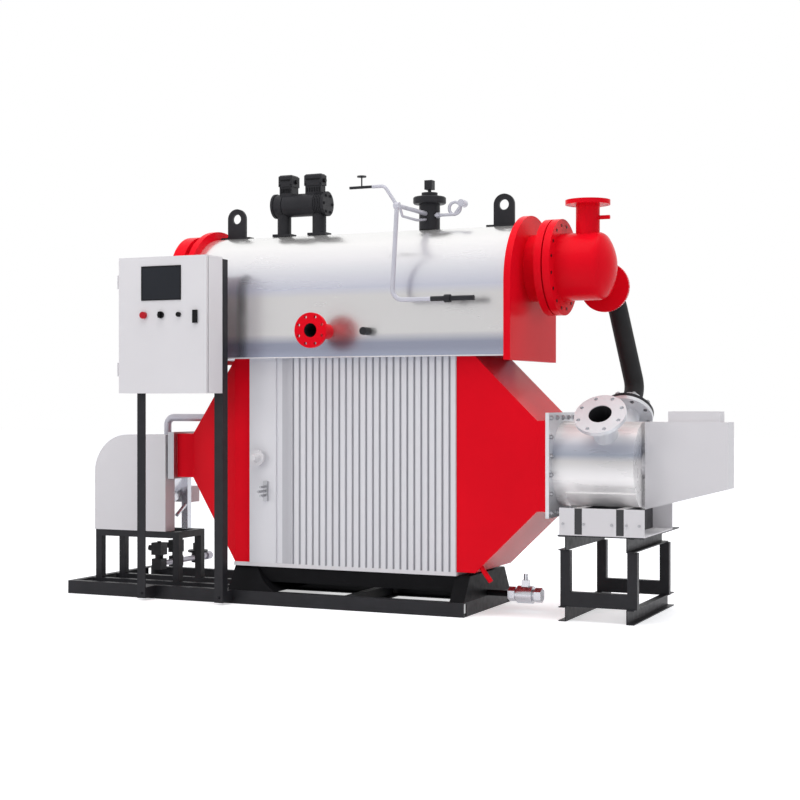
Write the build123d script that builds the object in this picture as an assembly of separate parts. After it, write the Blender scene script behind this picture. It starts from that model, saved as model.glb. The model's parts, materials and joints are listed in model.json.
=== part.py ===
from build123d import *
import math
import os

os.makedirs("parts", exist_ok=True)

# Packaged steam boiler on a channel skid, with a flue gas condenser beside it.
# x runs along the skid from its left end, y from the boiler's centre plane towards
# the back and z from the floor. At the end everything moves so that the origin is
# the bottom centre of the whole plant.

# Skid
skid_length = 2642.0
skid_depth = 752.0
bay_length = 1143.0
bay_rear_depth = 930.0
channel_height = 80.0
channel_flange = 43.0
channel_wall = 6.0

# Furnace block
furnace_left = 1143.0
furnace_right = 2567.0
furnace_depth = 560.0
furnace_bottom = 240.0
furnace_top = 1443.0
end_band_width = 106.0
front_panel_width = 176.0
step_strip_width = 70.0
panel_thickness = 8.0
rib_pitch = 42.7
rib_height = 12.0
rib_groove = 10.0
sill_height = 22.0
sill_depth = 20.0

# Sight port in the furnace front
port_x = 1320.0
port_height = 860.0
port_stub = 30.0
port_plate_radius = 46.0
port_plate_thickness = 14.0
port_cone_length = 38.0
port_cone_radius = 28.0

# Saddles and belly plate
saddle_reach = 75.0
saddle_plate = 12.0
saddle_foot = 317.0
saddle_shoulder = 150.0
belly_drop = 112.0

# Drum casing, an inverted U, and its end plates
casing_left = 880.0
casing_right = 2882.0
casing_radius = 348.0
casing_axis_height = 1842.0
casing_wall = 6.0
end_plate_radius = 398.0
end_plate_thickness = 39.0
end_plate_drop = 24.0

# Header and left manhole, both on the drum axis
header_height = 1944.0
header_diameter = 377.0
header_flange_diameter = 540.0
header_flange_thickness = 41.0
header_flange_gap = 8.0
raised_face_step = 25.0
dish_crown_share = 0.8
dish_knuckle_share = 0.154
header_flange_start = 3009.0
header_tangent = 3300.0
manhole_neck_ring = 37.0
manhole_gap = 21.0
manhole_neck_length = 29.0
steam_outlet_x = 3237.0
steam_outlet_rise = 369.0
steam_pipe_diameter = 133.0
steam_pipe_bore = 125.0
steam_flange_diameter = 250.0
steam_flange_thickness = 26.0
steam_flange_pcd = 210.0
steam_flange_hole = 18.0
bolt_count = 8
vent_diameter = 23.0
vent_reach = 60.0
vent_drop = 99.0

# Rear branch and insulated pipe down to the condenser
branch_x = 3262.0
branch_drop = 99.0
branch_reach = 75.0
branch_flange_diameter = 285.0
branch_flange_thickness = 24.0
downpipe_diameter = 112.0
downpipe_back = 429.0
downpipe_bend = 130.0

# Hoods
hood_side = 12.0
right_hood_break = 110.0
right_collar_start = 3039.0
right_collar_end = 3085.0
right_collar_top = 1087.0
right_collar_bottom = 591.0
left_collar_start = 757.0
left_collar_end = 643.0
left_collar_top = 992.0
left_collar_bottom = 724.0
left_collar_depth = 268.0
hood_drain_radius = 14.0
hood_drain_top = 290.0
hood_drain_fall = 98.0

# Drain pipe and ball valve on the right saddle
drain_height = 97.0
drain_pipe_diameter = 34.0
drain_pipe_length = 133.0
drain_valve_length = 196.0
drain_nut = 84.0
drain_ball = 100.0
drain_stem = 118.0

# Condenser
condenser_height = 843.0
condenser_radius = 238.0
condenser_wall = 6.0
condenser_flange_size = 575.0
condenser_flange_thickness = 20.0
condenser_end = 3561.0
nozzle_x = 3391.0
nozzle_reach = 400.0
nozzle_angle = 45.0
nozzle_flange_diameter = 285.0
nozzle_flange_thickness = 24.0
nozzle_flange_pcd = 240.0
nozzle_flange_hole = 22.0
nozzle_bore = 127.0
nozzle_pipe_diameter = 139.0

# Smoke box at the condenser's end
smoke_neck = 22.0
smoke_box_length = 450.0
smoke_box_depth = 156.0
smoke_box_end_bottom = 724.0
smoke_wall = 5.0
flue_left = 3705.0
flue_length = 281.0
flue_depth = 110.0
flue_top = 1138.0

# Condenser cradle: sheet panels in front and behind, ribs and a curved saddle between them
cradle_left = 3169.0
cradle_right = 3640.0
cradle_top = 618.0
cradle_depth = 610.0
cradle_sheet = 6.0
cradle_rib = 42.0
cradle_rib_places = (3276.0, 3507.0)
saddle_sheet = 9.0
saddle_arc_angle = 52.0

# Stand under the condenser: channels along y, their flanges turned outward
stand_left = 3155.0
stand_right = 3576.0
stand_front = -276.0
stand_depth = 877.0
stand_leg_width = 55.0
stand_leg_depth = 40.0
stand_leg_set_back = 12.0
stand_leg_spacing = 690.0
stand_leg_overhang = 14.0
stand_top = 464.0
stand_plate = 6.0

# Fan: thin box in front, round scroll behind it, then a flange and the duct
fan_left = 58.0
fan_right = 582.0
fan_front = -176.0
fan_box_depth = 106.0
fan_bottom = 386.0
fan_top = 984.0
fan_corner = 240.0
scroll_depth = 165.0
scroll_bottom = 510.0
scroll_right = 600.0
fan_flange_margin = 10.0
fan_motor_x = 330.0
fan_motor_height = 650.0
fan_motor_radius = 100.0
fan_motor_length = 190.0
fan_shaft_radius = 40.0
fan_shaft_gap = 30.0
terminal_box_size = 100.0
terminal_box_left = 530.0

# Fan stand
fan_stand_left = 66.0
fan_stand_right = 680.0
fan_stand_depth = 300.0
fan_stand_leg = 44.0
fan_stand_beam = 40.0
air_pipe_diameter = 46.0
air_pipe_x = 487.0
air_pipe_height = 1090.0

# Gas train, running backwards under the fan
gas_pipe_diameter = 34.0
gas_pipe_height = 160.0
gas_pipe_x = 405.0
gas_pipe_end = 640.0
gas_valve_places = (27.0, 225.0)
gas_valve_width = 68.0
gas_valve_neck = 52.0
gas_head_bottom = 218.0
gas_head_top = 296.0
governor_place = 491.0
governor_radius = 66.0
governor_height = 200.0
governor_top = 306.0

# Control cabinet
cabinet_left = 578.0
cabinet_width = 596.0
cabinet_depth = 182.0
cabinet_bottom = 1239.0
cabinet_top = 2033.0
cabinet_wall = 3.0
door_thickness = 20.0
door_gap = 8.0
post_size = 57.0
post_wall = 6.0
post_inset = 6.0
post_top = 2023.0
post_stand_off = 54.0
bracket_bottom = 14.0
screen_width = 270.0
screen_height = 200.0
screen_left = 158.0
screen_bottom = 540.0
screen_depth = 8.0
screen_stand = 3.0
button_height = 455.0
button_places = (176.0, 293.0, 414.0)
latch_place = 511.0
latch_width = 28.0
latch_height = 75.0
hinge_pin_radius = 4.0
hinge_knuckle_radius = 8.0
hinge_offset = 9.0
hinge_knuckle_length = 40.0
hinge_inset = 100.0
hinge_clearance = 0.3
hinge_leaf = 3.0
plate_stand_off = 25.0

# Fittings on the drum casing
lug_places = (992.0, 2743.0)
lug_width = 124.0
lug_height = 187.0
lug_hole = 60.0
lug_thickness = 20.0
lug_base_length = 200.0
lug_base_depth = 60.0
lug_base_thickness = 10.0
head_centre = 1440.0
head_length = 358.0
head_pipe_diameter = 139.0
head_rise = 189.0
head_cap = 15.0
head_cap_lip = 5.0
head_groove_place = 69.0
head_leg_radius = 42.0
head_leg_inset = 60.0
head_foot = 120.0
head_foot_height = 16.0
head_box_places = (45.0, 212.0)
head_box_widths = (93.0, 118.0)
head_box_depths = (97.0, 66.0)
head_box_height = 182.0
head_box_chamfer = 9.0
head_box_step = 70.0
main_valve_x = 2280.0
valve_body_radius = 61.0
valve_body_height = 150.0
valve_cap_radius = 96.0
valve_cap_height = 43.0
valve_hub_radius = 47.0
valve_hub_height = 24.0
valve_stem_radius = 10.0
valve_stem_height = 18.0
valve_box = 47.0
valve_box_height = 54.0
gauge_line_y = -466.0
tube_diameter = 25.0
gauge_branch_rise = 90.0
gauge_line_drop = 524.0
gauge_line_lean = 30.0
gauge_line_run = 205.0
upper_line_rise = 112.0
upper_line_run = 150.0
spindle_length = 140.0
spindle_radius = 8.0
hand_wheel_radius = 26.0
hand_wheel_rise = 56.0
hand_wheel_back = 66.0
siphon_drop = 52.0
pigtail_radius = 36.0
pigtail_tube = 18.0
gauge_radius = 30.0
probe_length = 253.0
probe_radius = 14.0
probe_collar_place = 82.0
probe_collar_length = 34.0
probe_collar_radius = 22.0
drum_nozzle_x = 1785.0
drum_nozzle_height = 1593.0
drum_nozzle_face = 556.0
drum_flange_diameter = 200.0
drum_flange_thickness = 22.0
drum_flange_pcd = 160.0
drum_flange_hole = 18.0
drum_pipe_diameter = 89.0
drum_pipe_bore = 80.0
socket_x = 2048.0
socket_height = 1590.0
socket_diameter = 45.0
socket_length = 70.0

# Sizes that follow
skid_front = -skid_depth / 2
skid_rear = skid_depth / 2
bay_rear = skid_front + bay_rear_depth
furnace_front = -furnace_depth / 2
post_front = skid_front - post_stand_off - post_size
furnace_rear = furnace_depth / 2
casing_bottom = furnace_top
casing_top = casing_axis_height + casing_radius
header_radius = header_diameter / 2
steam_outlet_top = header_height + steam_outlet_rise
branch_height = header_height - branch_drop
branch_face = header_radius + branch_reach
nozzle_lean = math.radians(nozzle_angle)
cradle_bottom = stand_top + stand_plate
fan_box_rear = fan_front + fan_box_depth
scroll_rear = fan_box_rear + scroll_depth
fan_stand_rear = fan_front + fan_stand_depth

nodes = {}


def span(x0, x1, y0, y1, z0, z1):
    """Block between two corners."""
    middle = ((x0 + x1) / 2, (y0 + y1) / 2, (z0 + z1) / 2)
    return Pos(*middle) * Box(abs(x1 - x0), abs(y1 - y0), abs(z1 - z0))


def rod(start, end, radius):
    """Round bar from start to end."""
    a, b = Vector(*start), Vector(*end)
    plane = Plane(origin=a, z_dir=b - a)
    return Solid.make_cylinder(radius, (b - a).length, plane)


def along_y(outline, y0, y1):
    """Outline of (x, z) points made solid from y0 to y1."""
    face = make_face(Polyline(*[(x, y0, z) for x, z in outline], close=True))
    return extrude(face, amount=abs(y1 - y0), dir=(0, 1, 0))


def along_x(outline, x0, x1):
    """Outline of (y, z) points made solid from x0 to x1."""
    face = make_face(Polyline(*[(x0, y, z) for y, z in outline], close=True))
    return extrude(face, amount=abs(x1 - x0), dir=(1, 0, 0))


def along_z(outline, z0, z1):
    """Outline of (x, y) points made solid from z0 to z1."""
    face = make_face(Polyline(*[(x, y, z0) for x, y in outline], close=True))
    return extrude(face, amount=abs(z1 - z0), dir=(0, 0, 1))


def channel_x(x0, x1, web, inward, bottom, height):
    """Channel along x, its web at y = web and its flanges turned inward."""
    tip = web + inward * channel_flange
    inner_tip = web + inward * (channel_flange + 1)
    outer = span(x0, x1, web, tip, bottom, bottom + height)
    inner = span(
        x0 - 1, x1 + 1, web + inward * channel_wall, inner_tip,
        bottom + channel_wall, bottom + height - channel_wall,
    )
    return outer - inner


def channel_y(y0, y1, web, inward, bottom, height):
    """Channel along y, its web at x = web and its flanges turned inward."""
    tip = web + inward * channel_flange
    inner_tip = web + inward * (channel_flange + 1)
    outer = span(web, tip, y0, y1, bottom, bottom + height)
    inner = span(
        web + inward * channel_wall, inner_tip, y0 - 1, y1 + 1,
        bottom + channel_wall, bottom + height - channel_wall,
    )
    return outer - inner


def bolted_flange(centre, outward, diameter, bore, thickness, pcd, hole):
    """Flange whose face is at centre and looks outward, with its ring of bolt holes."""
    face = Plane(origin=Vector(*centre), z_dir=Vector(*outward))
    disc = Cylinder(diameter / 2, thickness, align=(Align.CENTER, Align.CENTER, Align.MAX))
    disc -= Cylinder(bore / 2, 3 * thickness)
    for place in PolarLocations(pcd / 2, bolt_count, start_angle=180 / bolt_count):
        disc -= place * Cylinder(hole / 2, 3 * thickness)
    return face * disc


def inverted_u(half_width, crown, bottom, x0, x1):
    """Upright slab with a round top, made solid along x."""
    spring = crown - half_width
    straight = [(x0, -half_width, spring), (x0, -half_width, bottom),
                (x0, half_width, bottom), (x0, half_width, spring)]
    arch = ThreePointArc((x0, half_width, spring), (x0, 0, crown), (x0, -half_width, spring))
    face = make_face(Polyline(*straight) + arch)
    return extrude(face, amount=x1 - x0, dir=(1, 0, 0))


def add(name, shape):
    nodes[name] = shape


def make_skid():
    """Channel frame: the fan's bay on the left reaches further back."""
    front = channel_x(0, skid_length, skid_front, 1, 0, channel_height)
    rear = channel_x(bay_length, skid_length, skid_rear, -1, 0, channel_height)
    bay = channel_x(0, bay_length, bay_rear, -1, 0, channel_height)
    add("skid_rails", Compound([front, rear, bay]))
    front_end = skid_front + channel_flange
    bay_end = bay_rear - channel_flange
    rear_end = skid_rear - channel_flange
    left = channel_y(front_end, bay_end, 0, 1, 0, channel_height)
    step = channel_y(front_end, bay_end, bay_length, -1, 0, channel_height)
    middle = channel_y(front_end, rear_end, (bay_length + skid_length) / 2, 1, 0, channel_height)
    right = channel_y(front_end, rear_end, skid_length, -1, 0, channel_height)
    add("skid_cross_members", Compound([left, step, middle, right]))


def saddle_outline(foot):
    """Trapezoid in (y, z): furnace width at the top, skid width at the bottom."""
    return [(-skid_depth / 2 + 6, foot), (skid_depth / 2 - 6, foot),
            (furnace_rear, furnace_bottom - sill_height), (furnace_front, furnace_bottom - sill_height)]


def make_saddles():
    """Left saddle with a curved foot, right saddle with the drain stub, belly plate between."""
    foot, top = channel_height, furnace_bottom - sill_height
    toe = furnace_left + saddle_foot
    shoulder = furnace_left + saddle_shoulder
    sides = Polyline((shoulder, 0, top), (furnace_left, 0, top), (furnace_left, 0, foot), (toe, 0, foot))
    middle = ((toe + 2 * shoulder) / 3, 0, (top + foot) / 2)
    curve = ThreePointArc((toe, 0, foot), middle, (shoulder, 0, top))
    profile = extrude(make_face(sides + curve), amount=skid_depth / 2, dir=(0, 1, 0), both=True)
    left = along_x(saddle_outline(foot), furnace_left, toe) & profile
    start = furnace_right - saddle_plate
    end = furnace_right + saddle_reach
    right = along_x(saddle_outline(foot), start, end)
    right += rod((end, 0, drain_height), (end + drain_pipe_length, 0, drain_height), drain_pipe_diameter / 2)
    add("saddles", Compound([left, right]))
    belly = span(furnace_left + saddle_plate, start, furnace_front + 4, furnace_rear - 4,
                 furnace_bottom - belly_drop, top)
    add("belly_plate", belly - left)


def make_drain_valve():
    """Polished ball valve with a nut at each end and a stem block on top."""
    left = furnace_right + saddle_reach + drain_pipe_length
    right = left + drain_valve_length
    middle = (left + right) / 2
    nut_length = drain_valve_length / 5
    z = drain_height
    body = rod((left, 0, z), (right, 0, z), 0.4 * drain_nut)
    for x in (left, right - nut_length):
        face = Plane(origin=(x, 0, z), z_dir=(1, 0, 0))
        body += extrude(face * RegularPolygon(drain_nut / 2, 6), amount=nut_length)
    body += rod((middle - 0.45 * drain_ball, 0, z), (middle + 0.45 * drain_ball, 0, z), drain_ball / 2)
    body += rod((middle, 0, z), (middle, 0, z + drain_stem), drain_ball / 8)
    block = drain_ball / 5
    body += span(middle - block, middle + block, -block, block, z, z + 0.7 * drain_stem)
    add("drain_valve", body)


def ribbed_sheet():
    """Corrugated wall: narrow grooves between wide flat ribs."""
    left = furnace_left + end_band_width + front_panel_width + step_strip_width
    right = furnace_right
    count = int((right - left) / rib_pitch)
    pitch = (right - left) / count
    back = furnace_front
    root = back - panel_thickness
    crest = root - rib_height
    points = [(left, back), (left, root)]
    for i in range(count):
        x = left + i * pitch
        points += [(x + rib_groove / 2, root), (x + rib_groove, crest),
                   (x + pitch - rib_groove / 2, crest), (x + pitch, root)]
    points.append((right, back))
    bottom = furnace_bottom
    face = make_face(Polyline(*[(x, y, bottom) for x, y in points], close=True))
    return extrude(face, amount=furnace_top - furnace_bottom, dir=(0, 0, 1))


def make_furnace():
    body_left = furnace_left + end_band_width
    panel_right = body_left + front_panel_width
    strip_right = panel_right + step_strip_width
    add("furnace_body", span(body_left, furnace_right, furnace_front, furnace_rear,
                             furnace_bottom, furnace_top))
    add("furnace_end_band", span(furnace_left, body_left,
                                 furnace_front - panel_thickness, furnace_rear + panel_thickness,
                                 furnace_bottom, furnace_top))
    face = furnace_front - panel_thickness
    panel = span(body_left, panel_right, face - rib_height, furnace_front, furnace_bottom, furnace_top)
    strip = span(panel_right, strip_right, face, furnace_front, furnace_bottom, furnace_top)
    plain = panel + strip
    add("plain_panels", Compound([plain, mirror(plain, about=Plane.XZ)]))
    ribbed = ribbed_sheet()
    add("ribbed_walls", Compound([ribbed, mirror(ribbed, about=Plane.XZ)]))
    sill_top = furnace_bottom
    sill_bottom = furnace_bottom - sill_height
    add("furnace_sill", span(furnace_left, furnace_right, furnace_front - sill_depth,
                             furnace_rear + sill_depth, sill_bottom, sill_top))
    make_sight_port(face - rib_height)


def make_sight_port(wall):
    """Short stub with a round plate and the port's cone on it."""
    plate = wall - port_stub
    cone = plate - port_plate_thickness
    port = rod((port_x, wall, port_height), (port_x, plate, port_height), port_cone_radius)
    port += rod((port_x, plate, port_height), (port_x, cone, port_height), port_plate_radius)
    face = Plane(origin=(port_x, cone, port_height), z_dir=(0, -1, 0))
    port += Solid.make_cone(port_cone_radius, port_cone_radius / 2, port_cone_length, face)
    add("sight_port", port)


def make_drum_casing():
    """Sheet casing over the drum and the two flat plates that close it."""
    outer = inverted_u(casing_radius, casing_top, casing_bottom, casing_left, casing_right)
    inner = inverted_u(casing_radius - casing_wall, casing_top - casing_wall,
                       casing_bottom + casing_wall, casing_left, casing_right)
    add("drum_casing", outer - inner)
    crown, bottom = casing_axis_height + end_plate_radius, casing_bottom - end_plate_drop
    add("casing_ends", Compound([
        inverted_u(end_plate_radius, crown, bottom, x, x + end_plate_thickness)
        for x in (casing_left - end_plate_thickness, casing_right)
    ]))


def make_manhole():
    """Left opening of the drum: neck with a stiffening ring, flange and blind cover."""
    z = header_height
    flange = header_flange_diameter / 2
    plate = casing_left - end_plate_thickness
    ring_right = plate - manhole_gap
    ring_left = ring_right - manhole_neck_ring
    flange_right = ring_left - manhole_neck_length
    flange_left = flange_right - header_flange_thickness + 2
    neck = rod((flange_left, 0, z), (plate, 0, z), header_radius)
    neck += rod((ring_left, 0, z), (ring_right, 0, z), flange)
    neck += rod((flange_left, 0, z), (flange_right, 0, z), flange)
    add("manhole_neck", neck)
    cover_left = flange_left - header_flange_thickness
    add("manhole_cover", rod((cover_left, 0, z), (flange_left, 0, z), flange))


def dished_end(start, radius):
    """Knuckle and crown arcs of a pressed end on a shell, and where it meets the axis."""
    crown_radius = dish_crown_share * 2 * radius
    knuckle_radius = dish_knuckle_share * 2 * radius
    rise = radius - knuckle_radius
    run = math.sqrt((crown_radius - knuckle_radius) ** 2 - rise ** 2)
    centre = start - run
    turn = math.atan2(rise, run)
    half_turn = (turn + math.pi / 2) / 2
    meet = (centre + crown_radius * math.cos(turn), crown_radius * math.sin(turn))
    knuckle = ThreePointArc(
        (start, radius),
        (start + knuckle_radius * math.cos(half_turn), rise + knuckle_radius * math.sin(half_turn)),
        meet,
    )
    middle = (centre + crown_radius * math.cos(turn / 2), crown_radius * math.sin(turn / 2))
    crown = ThreePointArc(meet, middle, (centre + crown_radius, 0))
    return knuckle, crown, centre + crown_radius


def make_header():
    """Vessel on the drum's right end with the steam outlet on top."""
    z = header_height
    r = header_radius
    flange = header_flange_diameter / 2
    plate = casing_right + end_plate_thickness
    first = header_flange_start
    first_end = first + header_flange_thickness
    second = first_end + header_flange_gap
    second_end = second + header_flange_thickness
    neck = rod((plate, 0, z), (first_end, 0, z), r) + rod((first, 0, z), (first_end, 0, z), flange)
    add("header_neck", neck)
    knuckle, crown, dome_end = dished_end(header_tangent, r)
    profile = make_face(
        Polyline((second, 0), (second, flange), (second_end, flange), (second_end, r),
                 (header_tangent, r))
        + knuckle + crown + Line((dome_end, 0), (second, 0))
    )
    vessel = revolve(profile, Axis.X)
    vessel = Pos(0, 0, z) * vessel + rod((first_end, 0, z), (second, 0, z), flange - raised_face_step)
    pipe = rod((steam_outlet_x, 0, z), (steam_outlet_x, 0, steam_outlet_top), steam_pipe_diameter / 2)
    bore = rod((steam_outlet_x, 0, z), (steam_outlet_x, 0, steam_outlet_top + 1), steam_pipe_bore / 2)
    vent_height = steam_outlet_top - vent_drop
    vent = rod((steam_outlet_x, 0, vent_height),
               (steam_outlet_x + steam_pipe_diameter / 2 + vent_reach, 0, vent_height), vent_diameter / 2)
    outlet = pipe + vent + bolted_flange((steam_outlet_x, 0, steam_outlet_top), (0, 0, 1),
                                         steam_flange_diameter, steam_pipe_bore,
                                         steam_flange_thickness, steam_flange_pcd, steam_flange_hole)
    branch = rod((branch_x, 0, branch_height), (branch_x, branch_face, branch_height),
                 downpipe_diameter / 2)
    branch += rod((branch_x, branch_face - branch_flange_thickness, branch_height),
                  (branch_x, branch_face, branch_height), branch_flange_diameter / 2)
    vessel = vessel + branch - bore
    add("steam_header", vessel)
    add("steam_outlet", outlet - vessel - bore)


def make_downpipe():
    """Insulated pipe from the header's rear branch to the condenser's rear nozzle."""
    foot_y = nozzle_reach * math.sin(nozzle_lean)
    foot_z = condenser_height + nozzle_reach * math.cos(nozzle_lean)
    lift = (downpipe_back - foot_y) / math.tan(nozzle_lean)
    points = [(branch_x, branch_face, branch_height), (branch_x, downpipe_back, branch_height),
              (nozzle_x, downpipe_back, foot_z + lift), (nozzle_x, foot_y, foot_z)]
    path = FilletPolyline(*points, radius=[downpipe_bend, downpipe_bend])
    section = Plane(origin=path @ 0, z_dir=path % 0) * Circle(downpipe_diameter / 2)
    add("insulated_downpipe", sweep(section, path=path))


def make_hoods():
    """Two tapered hoods, each the overlap of its side view and its plan."""
    corner = furnace_right + right_hood_break
    side_view = [(furnace_right, furnace_top), (corner, furnace_top), (right_collar_start, right_collar_top),
                 (right_collar_end, right_collar_top), (right_collar_end, right_collar_bottom),
                 (right_collar_start, right_collar_bottom), (corner, furnace_bottom),
                 (furnace_right, furnace_bottom)]
    wide, narrow = furnace_rear + hood_side, condenser_flange_size / 2
    plan = [(furnace_right, -wide), (right_collar_start, -wide), (right_collar_end, -narrow),
            (right_collar_end, narrow), (right_collar_start, wide), (furnace_right, wide)]
    hood = along_y(side_view, -wide, wide) & along_z(plan, 0, furnace_top)
    add("flue_hood", hood)
    side_view = [(left_collar_end, left_collar_bottom), (left_collar_start, left_collar_bottom),
                 (furnace_left, furnace_bottom), (furnace_left, furnace_top),
                 (left_collar_start, left_collar_top), (left_collar_end, left_collar_top)]
    wide, narrow = furnace_rear + panel_thickness, left_collar_depth / 2
    plan = [(left_collar_end, -narrow), (left_collar_start, -narrow), (furnace_left, -wide),
            (furnace_left, wide), (left_collar_start, narrow), (left_collar_end, narrow)]
    add("burner_hood", along_y(side_view, -wide, wide) & along_z(plan, 0, furnace_top))
    start = (corner + hood_drain_radius, furnace_front + hood_side, hood_drain_top)
    end = (start[0] + 0.73 * hood_drain_fall, start[1], hood_drain_top - hood_drain_fall)
    add("hood_drain", rod(start, end, hood_drain_radius) - hood)


def nozzle(side):
    """Flanged neck that leans out of the condenser shell to one side."""
    direction = Vector(0, side * math.sin(nozzle_lean), math.cos(nozzle_lean))
    axis = Vector(nozzle_x, 0, condenser_height)
    face = axis + direction * nozzle_reach
    body = rod(axis, face, nozzle_pipe_diameter / 2)
    body += bolted_flange(face, direction, nozzle_flange_diameter, nozzle_bore,
                          nozzle_flange_thickness, nozzle_flange_pcd, nozzle_flange_hole)
    body -= rod(axis, face + direction, nozzle_bore / 2)
    return body


def make_condenser():
    z = condenser_height
    flange_x = right_collar_end
    shell_x = flange_x + condenser_flange_thickness
    half = condenser_flange_size / 2
    add("condenser_flange", span(flange_x, shell_x, -half, half, z - half, z + half))
    outer = rod((shell_x, 0, z), (condenser_end, 0, z), condenser_radius)
    core = rod((shell_x, 0, z), (condenser_end - condenser_wall, 0, z), condenser_radius - condenser_wall)
    shell = outer - core
    front, rear = nozzle(-1), nozzle(1)
    for side in (-1, 1):
        direction = Vector(0, side * math.sin(nozzle_lean), math.cos(nozzle_lean))
        axis = Vector(nozzle_x, 0, z)
        shell -= rod(axis, axis + direction * nozzle_reach, nozzle_bore / 2)
    add("condenser_shell", shell)
    add("condenser_nozzles", Compound([front - outer, rear - outer]))
    neck = condenser_end + smoke_neck
    end = neck + smoke_box_length
    top, bottom = z + condenser_radius, z - condenser_radius
    outline = [(neck, bottom), (end, smoke_box_end_bottom), (end, top), (neck, top)]
    half_depth = smoke_box_depth / 2
    w = smoke_wall
    box = along_y(outline, -half_depth, half_depth)
    box += rod((condenser_end, 0, z), (neck, 0, z), smoke_box_depth / 2 - 6)
    inside = [(neck + w, bottom + 1.6 * w), (end - w, smoke_box_end_bottom + 1.6 * w), (end - w, top - w),
              (neck + w, top - w)]
    flue_half = flue_depth / 2
    duct = span(flue_left, flue_left + flue_length, -flue_half, flue_half, top, flue_top)
    hole = span(flue_left + w, flue_left + flue_length - w, -flue_half + w, flue_half - w,
                top - 2 * w, flue_top + 1)
    box -= along_y(inside, -half_depth + w, half_depth - w)
    add("smoke_box", box - hole)
    add("flue_outlet", duct - hole)


def make_cradle():
    """Sheet panels before and behind, two ribs between them and a curved saddle on the ribs."""
    half = cradle_depth / 2
    z = condenser_height
    ribs, edges = [], [cradle_left]
    for middle in cradle_rib_places:
        x0, x1 = middle - cradle_rib / 2, middle + cradle_rib / 2
        ribs.append(span(x0, x1, -half + 1, half - 1, cradle_bottom, cradle_top))
        edges += [x0, x1]
    edges.append(cradle_right)
    sheet = span(cradle_left, cradle_right, -half, half, cradle_bottom, cradle_bottom + cradle_sheet)
    for x0, x1 in zip(edges[::2], edges[1::2]):
        for y0 in (-half, half - cradle_sheet):
            sheet += span(x0, x1, y0, y0 + cradle_sheet, cradle_bottom, cradle_top)
    for rib in ribs:
        sheet -= rib
    add("condenser_cradle", sheet)
    ends = ((cradle_left, 0, z), (condenser_end, 0, z))
    outside = condenser_radius + saddle_sheet
    turn = math.radians(saddle_arc_angle)
    corner_y, corner_z = 2 * outside * math.sin(turn), z - 2 * outside * math.cos(turn)
    sector = along_x([(0, z), (-corner_y, corner_z), (corner_y, corner_z)], cradle_left, cradle_right)
    posts = (rod(*ends, outside) - rod(*ends, condenser_radius)) & sector
    for rib in ribs:
        posts += rib - rod(*ends, condenser_radius)
    add("cradle_posts", posts)
    rear = stand_front + stand_leg_set_back + stand_leg_spacing + stand_leg_depth
    add("cradle_plate", span(cradle_left - saddle_sheet, cradle_right, -half - 1, rear,
                             stand_top, cradle_bottom))


def make_stand():
    """Channel runners and rails along y, four legs between them and two cross beams."""
    legs, runners, beams = [], [], []
    leg_top = stand_top - channel_height
    first = stand_front + stand_leg_set_back
    leg_fronts = (first, first + stand_leg_spacing)
    rail_end = leg_fronts[1] + stand_leg_depth
    for tip, inward in ((stand_left, 1), (stand_right, -1)):
        web = tip + inward * channel_flange
        runners.append(channel_y(stand_front, stand_front + stand_depth, web, -inward, 0, channel_height))
        runners.append(channel_y(stand_front, rail_end, web, -inward, leg_top, channel_height))
    left_leg = stand_left + stand_leg_overhang / 2
    right_leg = stand_right + stand_leg_overhang - stand_leg_width
    for y0 in leg_fronts:
        for x0 in (left_leg, right_leg):
            legs.append(span(x0, x0 + stand_leg_width, y0, y0 + stand_leg_depth, channel_height, leg_top))
        beams.append(channel_x(left_leg + stand_leg_width, right_leg, y0, 1, channel_height, channel_height))
    add("stand_runners", Compound(runners))
    add("stand_legs", Compound(legs))
    add("stand_cross_beams", Compound(beams))


def make_fan():
    """Thin box with one round shoulder, the scroll and motor behind it and the outlet flange."""
    box = span(fan_left, fan_right, fan_front, fan_box_rear, fan_bottom, fan_top)
    shoulder = box.edges().filter_by(Axis.Y).sort_by(lambda e: e.center().Z - e.center().X)[-1]
    add("fan_housing", fillet(shoulder, fan_corner))
    radius = (fan_top - scroll_bottom) / 2
    x, z = fan_right - radius, scroll_bottom + radius
    scroll = rod((x, fan_box_rear, z), (x, scroll_rear, z), radius)
    scroll += span(x, scroll_right, fan_box_rear, scroll_rear, left_collar_bottom, fan_top)
    foot = scroll_right - fan_stand_leg
    scroll += span(foot, scroll_right, scroll_rear - fan_stand_leg, scroll_rear,
                   fan_bottom, left_collar_bottom)
    strut_x, strut_rise = scroll_right - 15, 60
    scroll += rod((strut_x, fan_box_rear + strut_rise / 3, scroll_bottom - strut_rise / 2),
                  (strut_x, scroll_rear - fan_stand_leg, scroll_bottom + strut_rise / 2), 12)
    add("fan_scroll", scroll)
    half = left_collar_depth / 2
    low, high = left_collar_bottom - fan_flange_margin, left_collar_top + fan_flange_margin
    add("fan_outlet_flange", span(scroll_right, left_collar_end, fan_front, half + fan_flange_margin,
                                  low, high))
    front = scroll_rear + fan_shaft_gap
    x, z = fan_motor_x, fan_motor_height
    motor = rod((x, scroll_rear, z), (x, front, z), fan_shaft_radius)
    motor += rod((x, front, z), (x, front + fan_motor_length, z), fan_motor_radius)
    motor += span(x, terminal_box_left + terminal_box_size / 2, front, front + terminal_box_size,
                  z - fan_motor_radius, z)
    add("fan_motor", motor)
    make_fan_stand()
    points = [(air_pipe_x, 0, fan_top), (air_pipe_x, 0, air_pipe_height),
              (furnace_left - 250, 0, air_pipe_height)]
    path = FilletPolyline(*points, radius=air_pipe_diameter)
    section = Plane(origin=path @ 0, z_dir=path % 0) * Circle(air_pipe_diameter / 2)
    add("air_pipe", sweep(section, path=path) - nodes["burner_hood"])


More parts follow.
